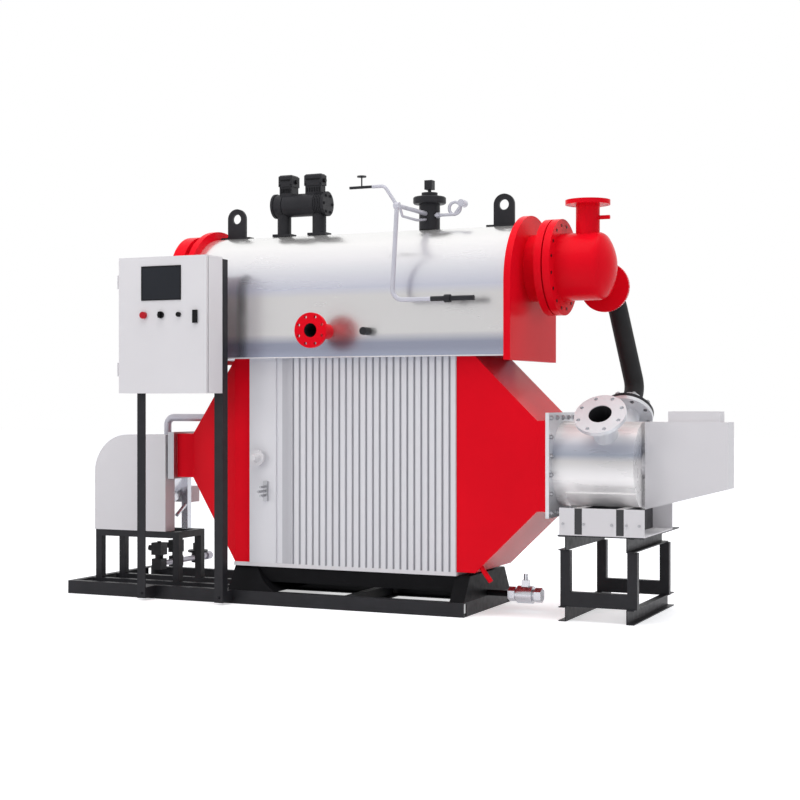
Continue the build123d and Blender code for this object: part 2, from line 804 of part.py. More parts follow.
def make_fan_stand():
    """Four legs on two rails, with a frame on top."""
    leg = fan_stand_leg
    low = fan_bottom - fan_stand_beam
    fronts = (fan_front, fan_stand_rear - leg)
    legs, rails = [], []
    for y0 in fronts:
        for x0 in (fan_stand_left, fan_stand_right - leg):
            legs.append(span(x0, x0 + leg, y0, y0 + leg, channel_height, low))
        rails.append(span(channel_flange, bay_length - channel_flange, y0, y0 + leg,
                          channel_height - fan_stand_beam, channel_height))
    add("fan_stand_legs", Compound(legs))
    add("fan_stand_rails", Compound(rails))
    frame = span(fan_stand_left, fan_stand_right, fan_front, fan_stand_rear, low, fan_bottom)
    frame -= span(fan_stand_left + leg, fan_stand_right - leg, fan_front + leg, fan_stand_rear - leg,
                  low - 1, fan_bottom + 1)
    add("fan_stand_top", frame)


def gas_valve(y):
    """Solenoid valve: body on the pipe, neck, head and a knob on the head's left."""
    x, z = gas_pipe_x, gas_pipe_height
    half = gas_valve_width / 2
    head = gas_valve_neck * 0.7
    body = span(x - half, x + half, y - half, y + half, z - half, z + half)
    body += rod((x, y, z), (x, y, gas_head_bottom), gas_valve_neck / 2)
    body += span(x - head, x + head, y - head, y + head, gas_head_bottom, gas_head_top)
    body += rod((x - 2 * head, y, gas_head_top - head), (x, y, gas_head_top - head), head / 2)
    body += rod((x, y, gas_head_top), (x, y, gas_head_top + 8), head / 3)
    return body


def make_gas_train():
    """Gas line from the back with two valves and a pressure governor."""
    x, z = gas_pipe_x, gas_pipe_height
    r = gas_pipe_diameter / 2
    pipe = rod((x, gas_valve_places[0], z), (x, gas_pipe_end, z), r)
    pipe += rod((x, gas_pipe_end - 3 * r, z), (x, gas_pipe_end, z), 1.6 * r)
    pipe += span(x - r, x + r, bay_rear - channel_flange, bay_rear - r, channel_height, z)
    y = governor_place
    governor = rod((x, y, z - 2 * r), (x, y, governor_height), 0.64 * governor_radius)
    governor += rod((x, y, governor_height - 7), (x, y, governor_height + 7), governor_radius)
    waist = (governor_height + governor_top) / 2
    governor += rod((x, y, governor_height), (x, y, waist), 0.5 * governor_radius)
    governor += rod((x, y, governor_height), (x, y, governor_top), 0.34 * governor_radius)
    bodies = [gas_valve(place) for place in gas_valve_places] + [governor]
    add("gas_pipe", pipe)
    add("gas_valves", Compound([body - pipe for body in bodies]))


def post(x0, outer):
    """Angle post: one leg to the front, the other on the side away from its fellow."""
    front = post_front
    back = front + post_size
    leg = span(x0, x0 + post_size, front, front + post_wall, channel_height, post_top)
    side = x0 if outer < 0 else x0 + post_size - post_wall
    leg += span(side, side + post_wall, front, back, channel_height, post_top)
    return leg


def make_cabinet_posts():
    """Two posts on brackets that reach forward from the skid's front rail."""
    left = cabinet_left + post_inset
    right = cabinet_left + cabinet_width - post_inset + 8 - post_size
    add("cabinet_posts", Compound([post(left, -1), post(right, 1)]))
    add("post_brackets", Compound([
        span(x, x + post_size, post_front, skid_front, bracket_bottom, channel_height)
        for x in (left, right)
    ]))


def hinge_heights():
    return (cabinet_bottom + hinge_inset, cabinet_top - hinge_inset - 2 * hinge_knuckle_length)


def make_cabinet():
    """Control cabinet in front of its posts, open towards its hinged door."""
    back = post_front
    front = back - cabinet_depth
    left, right = cabinet_left, cabinet_left + cabinet_width
    body_front = front + door_thickness + door_gap
    w = cabinet_wall
    body = span(left, right, body_front, back, cabinet_bottom, cabinet_top)
    body -= span(left + w, right - w, body_front - 1, back - w, cabinet_bottom + w, cabinet_top - w)
    hinge_x, hinge_y = left - hinge_offset, front + door_thickness / 2
    r, length = hinge_knuckle_radius, hinge_knuckle_length
    door = span(left, right, front, front + door_thickness, cabinet_bottom, cabinet_top)
    for z in hinge_heights():
        middle = z + length
        top = middle + length
        body += span(hinge_x, left, hinge_y, body_front + 30, z, middle - 1) - span(
            hinge_x + hinge_leaf, left, hinge_y, body_front, z - 1, middle)
        body += rod((hinge_x, hinge_y, z), (hinge_x, hinge_y, middle - 1), r)
        body += rod((hinge_x, hinge_y, z), (hinge_x, hinge_y, top), hinge_pin_radius)
        bore = rod((hinge_x, hinge_y, middle - 2), (hinge_x, hinge_y, top + 1),
                   hinge_pin_radius + hinge_clearance)
        door += rod((hinge_x, hinge_y, middle), (hinge_x, hinge_y, top), r) + span(
            hinge_x, left, hinge_y - hinge_leaf, hinge_y + hinge_leaf, middle, top)
        door -= bore
    add("cabinet_body", body)
    plate_back = back - w - plate_stand_off
    plate = span(left + 40, right - 40, plate_back - w, plate_back, cabinet_bottom + 40, cabinet_top - 40)
    for x in (left + 60, right - 60):
        for z in (cabinet_bottom + 60, cabinet_top - 60):
            plate += rod((x, plate_back, z), (x, back - w, z), 8)
    add("mounting_plate", plate)
    screen_x, screen_z = left + screen_left, cabinet_bottom + screen_bottom
    pocket = span(screen_x, screen_x + screen_width, front - 1, front + screen_depth,
                  screen_z, screen_z + screen_height)
    add("cabinet_door", door - pocket)
    add("touch_screen", span(screen_x, screen_x + screen_width, front - screen_stand,
                             front + screen_depth, screen_z, screen_z + screen_height))
    z = cabinet_bottom + button_height
    red, selector, small = [left + place for place in button_places]
    add("red_button", rod((red, front, z), (red, front - 20, z), 20))
    knob = rod((selector, front, z), (selector, front - 12, z), 20)
    knob += span(selector - 6, selector + 6, front - 28, front - 12, z - 18, z + 18)
    add("door_buttons", Compound([knob, rod((small, front, z), (small, front - 14, z), 14)]))
    latch_x = left + latch_place
    add("door_latch", span(latch_x, latch_x + latch_width, front - 14, front,
                           z - 51, z - 51 + latch_height))


def lifting_lug(x):
    """Plate with a round top and an eye, on a short base strip along the casing's crown."""
    half = lug_width / 2
    crown = casing_top + lug_height
    spring = crown - half
    outline = Polyline((x - half, 0, spring), (x - half, 0, casing_top), (x + half, 0, casing_top),
                       (x + half, 0, spring))
    arch = ThreePointArc((x + half, 0, spring), (x, 0, crown), (x - half, 0, spring))
    plate = extrude(make_face(outline + arch), amount=lug_thickness / 2, dir=(0, 1, 0), both=True)
    plate -= rod((x, -lug_thickness, spring), (x, lug_thickness, spring), lug_hole / 2)
    half_length, half_depth = lug_base_length / 2, lug_base_depth / 2
    return plate + span(x - half_length, x + half_length, -half_depth, half_depth,
                        casing_top, casing_top + lug_base_thickness)


def make_control_heads():
    """Level controls: a capped cylinder across two legs with a box on each half."""
    r = head_pipe_diameter / 2
    x0, x1 = head_centre - head_length / 2, head_centre + head_length / 2
    z = casing_top + head_rise
    bridge = rod((x0, 0, z), (x1, 0, z), r)
    groove = x0 + head_groove_place
    bridge -= rod((groove, 0, z), (groove + head_cap_lip, 0, z), r + 1) - rod(
        (groove, 0, z), (groove + head_cap_lip, 0, z), r - head_cap_lip)
    for x in (x0, x1 - head_cap):
        bridge += rod((x, 0, z), (x + head_cap, 0, z), r + head_cap_lip)
    half = head_foot / 2
    for x in (x0 + head_leg_inset, x1 - head_leg_inset):
        bridge += rod((x, 0, casing_top), (x, 0, z), head_leg_radius)
        bridge += span(x - half, x + half, -head_leg_radius, head_leg_radius,
                       casing_top, casing_top + head_foot_height)
    add("control_head_bridge", bridge)
    heads = []
    top = z + head_box_height
    step = top - head_box_step
    for place, width, depth in zip(head_box_places, head_box_widths, head_box_depths):
        left, right, front = x0 + place, x0 + place + width, -depth / 2
        lid = span(left, right, front, -front, step, top)
        lid = chamfer(lid.faces().sort_by(Axis.Z)[-1].edges(), head_box_chamfer)
        inset = head_cap_lip
        base = span(left + inset, right - inset, front + inset, -front - inset, z, step)
        heads.append(lid + base - bridge)
    add("control_heads", Compound(heads))


def make_main_valve():
    """Upright valve: body, rounded cap, hub, stem and the small box on the stem."""
    x, z = main_valve_x, casing_top
    cap_bottom = z + valve_body_height
    cap_top = cap_bottom + valve_cap_height
    hub_top = cap_top + valve_hub_height
    box_bottom = hub_top + valve_stem_height
    cap = rod((x, 0, cap_bottom), (x, 0, cap_top), valve_cap_radius)
    cap = fillet(cap.edges().filter_by(GeomType.CIRCLE), valve_cap_height / 4)
    valve = rod((x, 0, z), (x, 0, cap_bottom), valve_body_radius) + cap
    valve += rod((x, 0, cap_top), (x, 0, hub_top), valve_hub_radius)
    valve += rod((x, 0, hub_top), (x, 0, box_bottom), valve_stem_radius)
    half = valve_box / 2
    valve += span(x - half, x + half, -half, half, box_bottom, box_bottom + valve_box_height)
    add("main_valve", valve)


def tube(points, bends, radius):
    """Round tube along the points with a bend at each inner one."""
    path = FilletPolyline(*points, radius=bends)
    section = Plane(origin=path @ 0, z_dir=path % 0) * Circle(radius)
    return sweep(section, path=path)


def make_gauge_line():
    """Polished tubes on the main valve, with the hand valve, the probe and the gauge."""
    x, y = main_valve_x, gauge_line_y
    wall = -valve_body_radius
    z = casing_top + gauge_branch_rise
    low = z - gauge_line_drop
    high = z + upper_line_rise
    r = tube_diameter / 2
    main = nodes["main_valve"]
    lines = rod((x, wall + r, z), (x, y, z), r) + rod((x - 1.3 * r, y, z), (x + 1.3 * r, y, z), 1.4 * r)
    lines += tube([(x, y, z), (x - gauge_line_lean, y, low), (x + gauge_line_run, y, low)], 60, r)
    spindle = x - upper_line_run
    lines += tube([(x, y, z), ((x + spindle) / 2, y, high), (spindle, y, high)], 40, 0.8 * r)
    bottom = z - siphon_drop
    siphon = tube([(x, y + 3 * r, z), (x, y + 6 * r, bottom), (x, 3 * wall, bottom),
                   (x, wall + r, z - 2.6 * r)], [r, 2 * r], 0.6 * r)
    lines = lines + siphon - main
    ring_x = x + valve_body_radius + 3 * pigtail_radius
    ring_z = z + 26
    front = wall / 2
    ring = Pos(ring_x, front, ring_z) * Rot(X=90) * Torus(pigtail_radius, pigtail_tube / 2)
    ring += rod((x + valve_body_radius / 2, front, ring_z - pigtail_radius),
                (ring_x, front, ring_z - pigtail_radius), pigtail_tube / 2)
    gauge_x, gauge_z = ring_x + 1.4 * pigtail_radius, ring_z + 0.7 * pigtail_radius
    ring += rod((ring_x, front, ring_z - pigtail_radius), (gauge_x, front, gauge_z), pigtail_tube / 2)
    ring += rod((gauge_x, front - gauge_radius, gauge_z), (gauge_x, front + gauge_radius, gauge_z),
                0.7 * gauge_radius)
    add("gauge_tube", Compound([lines, ring - main]))
    start = x + gauge_line_run
    probe = rod((start, y, low), (start + probe_length, y, low), probe_radius)
    collar = start + probe_collar_place
    probe += rod((collar, y, low), (collar + probe_collar_length, y, low), probe_collar_radius)
    wheel_x, wheel_z = spindle - hand_wheel_back, high + hand_wheel_rise
    hand = rod((spindle - spindle_length, y, high), (spindle, y, high), spindle_radius)
    hand += rod((wheel_x, y, high), (wheel_x, y, wheel_z), spindle_radius / 2)
    hand += rod((wheel_x, y, wheel_z), (wheel_x, y, wheel_z + spindle_radius), hand_wheel_radius)
    add("probe_rod", Compound([probe, hand]))


def make_drum_front():
    """Flanged nozzle and threaded socket on the drum casing's front."""
    x, z = drum_nozzle_x, drum_nozzle_height
    face = -drum_nozzle_face
    wall = -casing_radius
    pipe = rod((x, wall, z), (x, face, z), drum_pipe_diameter / 2)
    pipe += bolted_flange((x, face, z), (0, -1, 0), drum_flange_diameter, drum_pipe_bore,
                          drum_flange_thickness, drum_flange_pcd, drum_flange_hole)
    pipe -= rod((x, wall - 20, z), (x, face - 1, z), drum_pipe_bore / 2)
    add("drum_front_nozzle", pipe)
    add("gauge_socket", rod((socket_x, wall, socket_height), (socket_x, wall - socket_length, socket_height),
                            socket_diameter / 2))


make_skid()
make_saddles()
make_drain_valve()
make_furnace()
make_drum_casing()
make_manhole()
make_header()
make_hoods()
make_condenser()
make_downpipe()
make_cradle()
make_stand()
make_fan()
make_gas_train()
make_cabinet_posts()
make_cabinet()
add("lifting_lugs", Compound([lifting_lug(x) for x in lug_places]))
make_control_heads()
make_main_valve()
make_gauge_line()
make_drum_front()

whole = Compound(list(nodes.values())).bounding_box()
shift = Pos(-(whole.min.X + whole.max.X) / 2, -(whole.min.Y + whole.max.Y) / 2, -whole.min.Z)
for name, shape in nodes.items():
    export_step(shift * shape, f"parts/{name}.step")
print(len(nodes), "nodes", whole.size)
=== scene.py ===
import json
import math

import bmesh
import bpy
from mathutils import Matrix, Vector


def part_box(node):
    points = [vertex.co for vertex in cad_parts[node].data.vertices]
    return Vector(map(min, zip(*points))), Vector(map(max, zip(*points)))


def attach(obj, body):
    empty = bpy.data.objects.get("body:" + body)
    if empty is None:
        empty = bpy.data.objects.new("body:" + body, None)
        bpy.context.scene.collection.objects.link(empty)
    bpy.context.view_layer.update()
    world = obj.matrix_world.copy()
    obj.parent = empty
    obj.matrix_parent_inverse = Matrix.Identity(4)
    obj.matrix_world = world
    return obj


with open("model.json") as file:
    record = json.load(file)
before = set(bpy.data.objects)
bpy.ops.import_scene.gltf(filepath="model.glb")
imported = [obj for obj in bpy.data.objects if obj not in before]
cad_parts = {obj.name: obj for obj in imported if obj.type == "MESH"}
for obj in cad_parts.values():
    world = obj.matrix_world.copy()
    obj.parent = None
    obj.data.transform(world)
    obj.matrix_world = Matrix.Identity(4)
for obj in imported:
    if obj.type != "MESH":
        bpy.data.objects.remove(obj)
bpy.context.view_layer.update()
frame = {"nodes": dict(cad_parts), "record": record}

# The photograph's camera, measured from the skid's front left corner, in metres and degrees
CAMERA_RIGHT = 5.715
CAMERA_BACK = 7.752
CAMERA_HEIGHT = 1.2
CAMERA_TURN = 24.03
CAMERA_LENS = 68.1
CAMERA_SENSOR = 36.0

# Studio, in metres and watts
FLOOR_SIZE = 80.0
FLOOR_COLOUR = (0.80, 0.81, 0.84)
FLOOR_GLOW = 0.50
SKY_LOW = (0.40, 0.40, 0.43)
SKY_MIDDLE = (0.66, 0.67, 0.71)
SKY_MIDDLE_PLACE = 0.25
SKY_HIGH = (1.0, 1.0, 1.0)
SKY_HIGH_PLACE = 0.8
SKY_STRENGTH = 0.80
LAMP_WHITE = (1.0, 0.975, 0.95)
LAMP_TARGET = (0.0, 0.0, 1.2)
WHITE = (1.0, 1.0, 1.0)

# Paint, plastic and rubber colours, as linear values
RED = (0.72, 0.004, 0.014)
BLACK = (0.017, 0.017, 0.020)
# Painted shade: black darkened for the plates that lie in the shade under the furnace
BLACK_WITH_PAINTED_SHADE = (0.008, 0.008, 0.009)
LIGHT_GREY = (0.68, 0.67, 0.69)
PANEL_GREY = (0.70, 0.70, 0.73)
# Painted shade in the grooves between the ribs and on the lap
GROOVE_PAINTED_SHADE = (0.36, 0.36, 0.39)
# Dark oxide in the bores, darkened further with painted shade
BORE_OXIDE_AND_SHADE = (0.012, 0.012, 0.014)
SCREEN = (0.022, 0.024, 0.029)
BUTTON_RED = (0.42, 0.004, 0.012)
BUTTON_BLACK = (0.004, 0.004, 0.005)
INSULATION = (0.013, 0.013, 0.014)

# Metal colours, as linear values
SHEET = (0.60, 0.59, 0.59)
# Painted light, a painted reflection band and a painted highlight on the condenser's shell
SHEET_BAND_REFLECTION = (0.34, 0.37, 0.44)
SHEET_SHOULDER_REFLECTION = (0.46, 0.475, 0.54)
SHEET_PAINTED_LIGHT = (0.93, 0.92, 0.92)
# Painted reflections and a painted highlight on the drum casing, from its foot up to its ridge
CASING_FOOT_REFLECTION = (0.34, 0.37, 0.46)
CASING_BAND_REFLECTION = (0.27, 0.285, 0.36)
CASING_SHOULDER_REFLECTION = (0.53, 0.54, 0.62)
CASING_UPPER_HIGHLIGHT = (0.81, 0.80, 0.82)
CASING_TOP_HIGHLIGHT = (0.90, 0.89, 0.89)
CASING_RIDGE_HIGHLIGHT = (0.84, 0.84, 0.83)
# Painted light on the saddle sheet, which lies in the shade under the condenser's shell
SADDLE_SHEET_PAINTED_LIGHT = (0.95, 0.93, 0.93)
TUBE_GREY = (0.50, 0.50, 0.56)
STEEL = (0.60, 0.61, 0.65)
FLANGE_WHITE = (0.66, 0.67, 0.70)
ZINC = (0.42, 0.42, 0.44)

# Sizes of the imported model that small pieces, painted shade and painted reflections are fitted to, in
# metres
HEADER_FLANGE = 0.041
HEADER_GAP = 0.008
BRANCH_FLANGE = 0.1425
DOWNPIPE_RADIUS = 0.056
NOZZLE_REACH = 0.400
NOZZLE_TILT = 45.0
NOZZLE_BORE = 0.0635
DRUM_BORE = 0.040
DOOR_WIDTH = 0.596
DOOR_THICKNESS = 0.020
DOOR_GAP = 0.008
CASING_RADIUS = 0.348
RIB_HEIGHT = 0.012
BRIDGE_RADIUS = 0.0695
BRIDGE_LIP = 0.005
VALVE_BODY_RADIUS = 0.061

# Sizes of the small pieces, in metres
HEADER_BOLT_CIRCLE = 0.235
HEADER_BOLTS = 16
HEADER_NUT = 0.030
HEADER_STUD = 0.009
BRANCH_BOLT_CIRCLE = 0.120
BRANCH_BOLTS = 8
BRANCH_NUT = 0.030
MATING_FLANGE = 0.022
SMALL_BOLT = 0.014
PIGTAIL_RADIUS = 0.036
PIGTAIL_TUBE = 0.009
PIGTAIL_RISE = 0.116

# Sizes of the painted reflection band on the drum casing and of the painted shade on the furnace's lap, in
# metres
CASING_REFLECTION_BAND_HEIGHT = 0.095
LAP_LEFT = 0.033
LAP_RIGHT = 0.038
LAP_SHADE = 0.6

# Part of its whole range that a noise node's result mostly keeps to
NOISE_RANGE = (0.3, 0.7)
NOISE_DETAIL = 4.0

# Stretch of the noise along the part's axes
EVEN = (1.0, 1.0, 1.0)
LENGTHWISE = (0.3, 2.0, 2.0)

# Edges of small pieces that turn by more degrees than this stay sharp
SHARP_ANGLE = 35.0

LEFTWARD = (-1, 0, 0)
RIGHTWARD = (1, 0, 0)
FORWARD = (0, -1, 0)
BACKWARD = (0, 1, 0)
UPWARD = (0, 0, 1)


class Paint:
    """A material with a principled shader and helpers that add detail to it."""

    def __init__(self, name, colour, roughness, metallic=0.0):
        self.material = bpy.data.materials.new(name)
        self.material.use_nodes = True
        self.material.diffuse_color = (*colour, 1.0)
        self.nodes = self.material.node_tree.nodes
        self.links = self.material.node_tree.links
        self.shader = self.nodes["Principled BSDF"]
        self.colour = colour
        self.set("Base Color", (*colour, 1.0))
        self.set("Roughness", roughness)
        self.set("Metallic", metallic)

    def set(self, socket, value):
        self.shader.inputs[socket].default_value = value
        return self

    def compute(self, operation, first, second=0.0):
        """Result of one math node, whose second value is a number or another node's result."""
        node = self.nodes.new("ShaderNodeMath")
        node.operation = operation
        self.links.new(first, node.inputs[0])
        if isinstance(second, float):
            node.inputs[1].default_value = second
        else:
            self.links.new(second, node.inputs[1])
        return node.outputs[0]

    def remap(self, value, source, target):
        """Result that runs over the target pair while the value runs over the source pair."""
        node = self.nodes.new("ShaderNodeMapRange")
        node.inputs["From Min"].default_value = source[0]
        node.inputs["From Max"].default_value = source[1]
        node.inputs["To Min"].default_value = target[0]
        node.inputs["To Max"].default_value = target[1]
        self.links.new(value, node.inputs["Value"])
        return node.outputs["Result"]

    def places(self):
        """The three coordinates of a point, in the part's own metres."""
        place = self.nodes.new("ShaderNodeTexCoord")
        split = self.nodes.new("ShaderNodeSeparateXYZ")
        self.links.new(place.outputs["Object"], split.inputs["Vector"])
        return split.outputs

    def noise(self, scale, stretch=EVEN):
        """Noise in the part's own metres, stretched along the axes."""
        place = self.nodes.new("ShaderNodeTexCoord")
        mapping = self.nodes.new("ShaderNodeMapping")
        mapping.inputs["Scale"].default_value = stretch
        texture = self.nodes.new("ShaderNodeTexNoise")
        texture.inputs["Scale"].default_value = scale
        texture.inputs["Detail"].default_value = NOISE_DETAIL
        self.links.new(place.outputs["Object"], mapping.inputs["Vector"])
        self.links.new(mapping.outputs["Vector"], texture.inputs["Vector"])
        return texture.outputs["Fac"]

    def blend(self, share, first, second):
        """Mixes two colours by a share and makes the result the paint's own colour."""
        mix = self.nodes.new("ShaderNodeMix")
        mix.data_type = "RGBA"
        mix.inputs["A"].default_value = (*first, 1.0)
        mix.inputs["B"].default_value = (*second, 1.0)
        self.links.new(share, mix.inputs["Factor"])
        self.links.new(mix.outputs["Result"], self.shader.inputs["Base Color"])
        return self

    def heights(self, stops):
        """Colours by height above the ground: pairs of a height in metres and a colour."""
        low, high = stops[0][0], stops[-1][0]
        ramp = self.nodes.new("ShaderNodeValToRGB")
        points = ramp.color_ramp.elements
        points[0].color = (*stops[0][1], 1.0)
        points[1].color = (*stops[-1][1], 1.0)
        for height, colour in stops[1:-1]:
            point = points.new((height - low) / (high - low))
            point.color = (*colour, 1.0)
        share = self.remap(self.places()["Z"], (low, high), (0.0, 1.0))
        self.links.new(share, ramp.inputs["Fac"])
        self.links.new(ramp.outputs["Color"], self.shader.inputs["Base Color"])
        return self

    def rough(self, scale, low, high, stretch=EVEN):
        """Lets the roughness drift from low to high."""
        value = self.remap(self.noise(scale, stretch), NOISE_RANGE, (low, high))
        self.links.new(value, self.shader.inputs["Roughness"])
        return self

    def mottle(self, scale, share):
        """Lets the colour drift by a share of itself."""
        dark = [c * (1 - share) for c in self.colour]
        light = [min(1.0, c * (1 + share)) for c in self.colour]
        return self.blend(self.remap(self.noise(scale), NOISE_RANGE, (0.0, 1.0)), dark, light)

    def bump(self, scale, height, strength):
        """Gives the surface a fine grain."""
        bump = self.nodes.new("ShaderNodeBump")
        bump.inputs["Strength"].default_value = strength
        bump.inputs["Distance"].default_value = height
        self.links.new(self.noise(scale), bump.inputs["Height"])
        self.links.new(bump.outputs["Normal"], self.shader.inputs["Normal"])
        return self


def gloss_red():
    paint = Paint("gloss_red", RED, roughness=0.26)
    paint.set("IOR", 1.3).set("Specular IOR Level", 0.10)
    return paint.mottle(scale=3.0, share=0.04).bump(scale=420.0, height=0.0002, strength=0.12).material


def satin_black():
    paint = Paint("satin_black", BLACK, roughness=0.4)
    paint.set("IOR", 1.4).set("Specular IOR Level", 0.3)
    paint.mottle(scale=9.0, share=0.15).rough(scale=30.0, low=0.38, high=0.50)
    return paint.bump(scale=600.0, height=0.0002, strength=0.25).material


def black_with_painted_shade():
    """Black paint with painted shade, for the plates under the furnace; it also reflects little of the
    floor.
    """
    paint = Paint("black_with_painted_shade", BLACK_WITH_PAINTED_SHADE, roughness=0.42)
    paint.set("IOR", 1.3).set("Specular IOR Level", 0.12)
    return paint.mottle(scale=9.0, share=0.15).rough(scale=30.0, low=0.38, high=0.50).material


def light_paint():
    paint = Paint("light_paint", LIGHT_GREY, roughness=0.42)
    paint.set("IOR", 1.4).set("Specular IOR Level", 0.3)
    return paint.mottle(scale=2.0, share=0.02).bump(scale=900.0, height=0.0001, strength=0.2).material


def panel_paint():
    """Grey panels with painted shade down in the grooves between the ribs and on the lap beside them."""
    low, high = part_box("ribbed_walls")
    margin = 0.001
    crest = (high.y - low.y) / 2 - margin
    lap_left, lap_right = low.x - LAP_LEFT, low.x + LAP_RIGHT
    paint = Paint("panel_paint", PANEL_GREY, roughness=0.34)
    paint.set("IOR", 1.4).set("Specular IOR Level", 0.3)
    places = paint.places()
    # Painted shade, darker the deeper a point lies in a groove, and on the lap
    off_centre = paint.compute("ABSOLUTE", paint.compute("SUBTRACT", places["Y"], (low.y + high.y) / 2))
    depth = paint.remap(off_centre, (crest - RIB_HEIGHT, crest), (1.0, 0.0))
    among_ribs = paint.compute("GREATER_THAN", places["X"], lap_right)
    groove_shade = paint.compute("MULTIPLY", depth, among_ribs)
    off_lap = paint.compute("ABSOLUTE", paint.compute("SUBTRACT", places["X"], (lap_left + lap_right) / 2))
    on_lap = paint.compute("LESS_THAN", off_lap, (lap_right - lap_left) / 2)
    shade = paint.compute("MAXIMUM", groove_shade, paint.compute("MULTIPLY", on_lap, LAP_SHADE))
    paint.blend(shade, PANEL_GREY, GROOVE_PAINTED_SHADE)
    paint.rough(scale=30.0, low=0.31, high=0.37)
    return paint.bump(scale=700.0, height=0.0001, strength=0.2).material


def casing_painted_reflections():
    """Satin sheets of the drum casing, with painted reflections by height: a cool painted reflection at the
    foot and a darker painted reflection band just above it, the plain upright side, a cool painted
    reflection at the shoulder and a painted highlight over the round top.
    """
    low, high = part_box("drum_casing")
    strip = low.z + CASING_REFLECTION_BAND_HEIGHT
    strip_fade, strip_core, side_fade = 0.045, 0.012, 0.05
    shoulder = high.z - CASING_RADIUS
    paint = Paint("casing_painted_reflections", SHEET, roughness=0.30, metallic=0.85)
    # Painted reflections and a painted highlight by height, in place of what the sheet would mirror
    paint.heights([
        (low.z, CASING_FOOT_REFLECTION),
        (strip - strip_fade, CASING_BAND_REFLECTION),
        (strip - strip_core, CASING_BAND_REFLECTION),
        (strip + strip_fade, SHEET),
        (shoulder - side_fade, SHEET),
        (shoulder, CASING_SHOULDER_REFLECTION),
        (shoulder + 0.5 * CASING_RADIUS, CASING_UPPER_HIGHLIGHT),
        (shoulder + 0.75 * CASING_RADIUS, CASING_TOP_HIGHLIGHT),
        (high.z, CASING_RIDGE_HIGHLIGHT),
    ])
    return paint.rough(scale=6.0, low=0.22, high=0.28, stretch=LENGTHWISE).material


def condenser_painted_reflections():
    """Rolled shell with painted light on its lower part, a cool painted reflection band a little above its
    middle and a painted highlight near its top.
    """
    low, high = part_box("condenser_shell")
    middle = (low.z + high.z) / 2
    reach = (high.z - low.z) / 2
    paint = Paint("condenser_painted_reflections", SHEET, roughness=0.28, metallic=0.15)
    # Painted light low down, a painted reflection band above the middle and a painted highlight near the top
    paint.heights([
        (low.z, SHEET_PAINTED_LIGHT),
        (middle - 0.30 * reach, SHEET_PAINTED_LIGHT),
        (middle + 0.10 * reach, SHEET),
        (middle + 0.25 * reach, SHEET_BAND_REFLECTION),
        (middle + 0.45 * reach, SHEET_SHOULDER_REFLECTION),
        (middle + 0.75 * reach, SHEET_PAINTED_LIGHT),
        (high.z, SHEET),
    ])
    return paint.rough(scale=8.0, low=0.25, high=0.31, stretch=LENGTHWISE).material


def cradle_paint():
    """Black posts below the cradle's top edge, and painted light on the saddle sheet above it, which lies in
    the shade under the shell.
    """
    _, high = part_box("condenser_cradle")
    edge = 0.002
    sheet_start = high.z + edge
    paint = Paint("cradle_paint", BLACK, roughness=0.4)
    # Painted light on the sheet above the cradle's top edge
    paint.heights([
        (0.0, BLACK),
        (high.z, BLACK),
        (sheet_start, SADDLE_SHEET_PAINTED_LIGHT),
        (2 * sheet_start, SADDLE_SHEET_PAINTED_LIGHT),
    ])
    return paint.rough(scale=30.0, low=0.34, high=0.44).material


def polished_steel():
    """Bright steel with a faint drift of tone."""
    paint = Paint("polished_steel", STEEL, roughness=0.24, metallic=0.9)
    return paint.rough(scale=12.0, low=0.20, high=0.30).mottle(scale=6.0, share=0.04).material


def tube_metal():
    """Dull plated tube."""
    paint = Paint("tube_metal", TUBE_GREY, roughness=0.34, metallic=0.35)
    return paint.rough(scale=25.0, low=0.30, high=0.38).mottle(scale=10.0, share=0.05).material


def flange_metal():
    paint = Paint("flange_metal", FLANGE_WHITE, roughness=0.32, metallic=0.45)
    return paint.rough(scale=25.0, low=0.28, high=0.36).mottle(scale=20.0, share=0.03).material


def zinc():
    paint = Paint("zinc", ZINC, roughness=0.35, metallic=0.9)
    return paint.rough(scale=80.0, low=0.28, high=0.42).material


def bore_oxide_and_painted_shade():
    return Paint("bore_oxide_and_painted_shade", BORE_OXIDE_AND_SHADE, roughness=0.7).mottle(scale=30.0, share=0.2).material


def dark_screen():
    paint = Paint("dark_screen", SCREEN, roughness=0.35)
    paint.set("IOR", 1.3).set("Specular IOR Level", 0.15)
    return paint.mottle(scale=4.0, share=0.04).material


def red_plastic():
    paint = Paint("red_plastic", BUTTON_RED, roughness=0.35).set("Specular IOR Level", 0.2)
    return paint.mottle(scale=60.0, share=0.05).material


def black_plastic():
    paint = Paint("black_plastic", BUTTON_BLACK, roughness=0.4).set("Specular IOR Level", 0.15)
    return paint.mottle(scale=60.0, share=0.1).material


def foam_sleeve():
    paint = Paint("foam_sleeve", INSULATION, roughness=0.62).set("Specular IOR Level", 0.25)
    return paint.mottle(scale=12.0, share=0.2).bump(scale=260.0, height=0.0006, strength=0.35).material


def make_finishes():
    return {
        "red_paint": gloss_red(),
        "black_steel": satin_black(),
        "black_with_painted_shade": black_with_painted_shade(),
        "casing": casing_painted_reflections(),
        "condenser": condenser_painted_reflections(),
        "cradle": cradle_paint(),
        "tube": tube_metal(),
        "bore": bore_oxide_and_painted_shade(),
        "polished_steel": polished_steel(),
        "light_panel": light_paint(),
        "screen": dark_screen(),
        "red_plastic": red_plastic(),
        "black_plastic": black_plastic(),
        "insulation": foam_sleeve(),
        "panel": panel_paint(),
        "flange": flange_metal(),
        "zinc": zinc(),
    }


